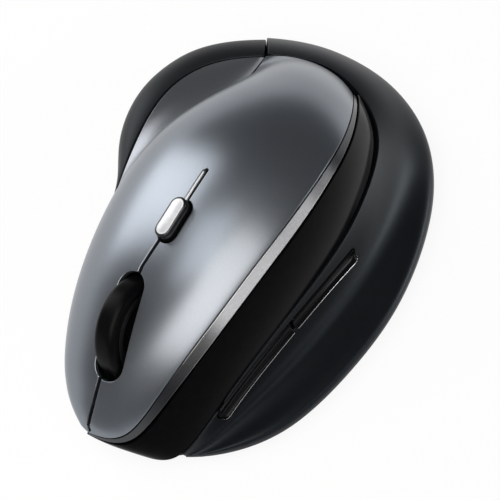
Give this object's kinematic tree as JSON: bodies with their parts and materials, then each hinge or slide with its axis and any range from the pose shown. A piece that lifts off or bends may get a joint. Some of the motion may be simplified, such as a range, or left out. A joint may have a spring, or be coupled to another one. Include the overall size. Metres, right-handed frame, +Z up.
{
  "type": "ergonomic mouse",
  "caption": "Right-handed ergonomic wireless mouse with a wide thumb rest, tilted scroll wheel, speed button, side buttons and a sliding battery door.",
  "frame": {"origin": "on the desk plane under the middle of the mouse's plan box", "axes": "+Z up, +Y toward the heel of the hand, -Y toward the fingertips, +X toward the thumb"},
  "size_m": [0.0851, 0.1219, 0.0453],
  "materials": {
    "metal_top": "satin metallic gunmetal paint",
    "silver_trim": "satin silver",
    "gloss_black": "high gloss",
    "soft_charcoal": "soft-touch matte",
    "grip_rubber": "fine matte rubber",
    "button_dark": "semi-gloss",
    "case_black": "fine texture",
    "foot_slick": "smooth low-friction",
    "steel": "zinc plated",
    "cell_jacket": "plain printed sleeve",
    "receiver_black": "fine texture",
    "board_green": "solder mask",
    "chip_black": "moulded",
    "lens_clear": "clear",
    "switch_grey": "moulded",
    "plunger_white": "moulded",
    "tyre_rubber": "smooth rubber",
    "hub_grey": "moulded",
    "mode_silver": "bright silver top, dark sides"
  },
  "bodies": {
    "case": {"palm_cover": "metal_top", "pinky_flare": "metal_top", "palm_trim": "silver_trim", "gloss_band": "gloss_black", "thumb_wing": "soft_charcoal", "pinky_rim": "grip_rubber", "bottom_case": "case_black", "feet": "foot_slick", "case_screws": "steel", "board_screws": "steel", "battery_cells": "cell_jacket", "contact_plates": "steel", "contact_springs": "steel", "nano_receiver": "receiver_black", "main_board": "board_green", "sensor_chip": "chip_black", "sensor_lens": "lens_clear", "controller_chip": "chip_black", "left_switch": "switch_grey", "right_switch": "switch_grey", "side_board": "board_green", "forward_switch": "switch_grey", "back_switch": "switch_grey", "power_switch": "switch_grey", "mode_board": "board_green", "mode_switch": "switch_grey", "center_spine": "case_black", "wheel_pivot_pin": "steel", "wheel_bracket": "hub_grey", "wheel_switch": "switch_grey"},
    "left_button": {"left_button": "metal_top", "button_trim": "silver_trim", "left_switch_plunger": "plunger_white"},
    "right_button": {"right_button": "metal_top", "right_switch_plunger": "plunger_white"},
    "wheel_carrier": {"wheel_carrier": "hub_grey", "encoder_body": "switch_grey", "wheel_switch_plunger": "plunger_white"},
    "wheel": {"wheel_tyre": "tyre_rubber", "wheel_hub": "hub_grey", "wheel_axle": "steel", "encoder_rotor": "plunger_white"},
    "mode_button": {"mode_button": "mode_silver", "mode_switch_plunger": "plunger_white"},
    "forward_button": {"forward_button": "button_dark", "forward_switch_plunger": "plunger_white"},
    "back_button": {"back_button": "button_dark", "back_switch_plunger": "plunger_white"},
    "power_slider": {"power_slider": "plunger_white"},
    "battery_door": {"battery_door": "case_black"}
  },
  "joints": [
    {"name": "left_click", "type": "hinge", "parent": "case", "child": "left_button", "pos_m": [0.00805, 0.00195, 0.043], "axis": [1, 0, 0], "range_deg": [0, 0.6], "stiffness_Nm_per_rad": 1, "springref_deg": -0.57},
    {"name": "right_click", "type": "hinge", "parent": "case", "child": "right_button", "pos_m": [-0.01395, 0.00195, 0.043], "axis": [1, 0, 0], "range_deg": [0, 0.6], "stiffness_Nm_per_rad": 1, "springref_deg": -0.57},
    {"name": "wheel_click", "type": "hinge", "parent": "case", "child": "wheel_carrier", "pos_m": [0.00182, -0.02275, 0.01345], "axis": [0.9272, 0, 0.3746], "range_deg": [0, 1.2], "stiffness_Nm_per_rad": 0.8, "springref_deg": -0.57},
    {"name": "wheel_spin", "type": "hinge", "parent": "wheel_carrier", "child": "wheel", "pos_m": [-0.00155, -0.03775, 0.0218], "axis": [0.9272, 0, 0.3746], "continuous": true},
    {"name": "mode_press", "type": "slide", "parent": "case", "child": "mode_button", "axis": [0.3635, 0.2419, -0.8996], "range_m": [0, 0.0005], "stiffness_N_per_m": 800, "springref_m": -0.0003},
    {"name": "forward_press", "type": "slide", "parent": "case", "child": "forward_button", "axis": [-1, 0, 0], "range_m": [0, 0.0005], "stiffness_N_per_m": 800, "springref_m": -0.0003},
    {"name": "back_press", "type": "slide", "parent": "case", "child": "back_button", "axis": [-1, 0, 0], "range_m": [0, 0.0005], "stiffness_N_per_m": 800, "springref_m": -0.0003},
    {"name": "power_slide", "type": "slide", "parent": "case", "child": "power_slider", "axis": [1, 0, 0], "range_m": [0, 0.0025]},
    {"name": "door_slide", "type": "slide", "parent": "case", "child": "battery_door", "axis": [0, 1, 0], "range_m": [0, 0.012]}
  ]
}
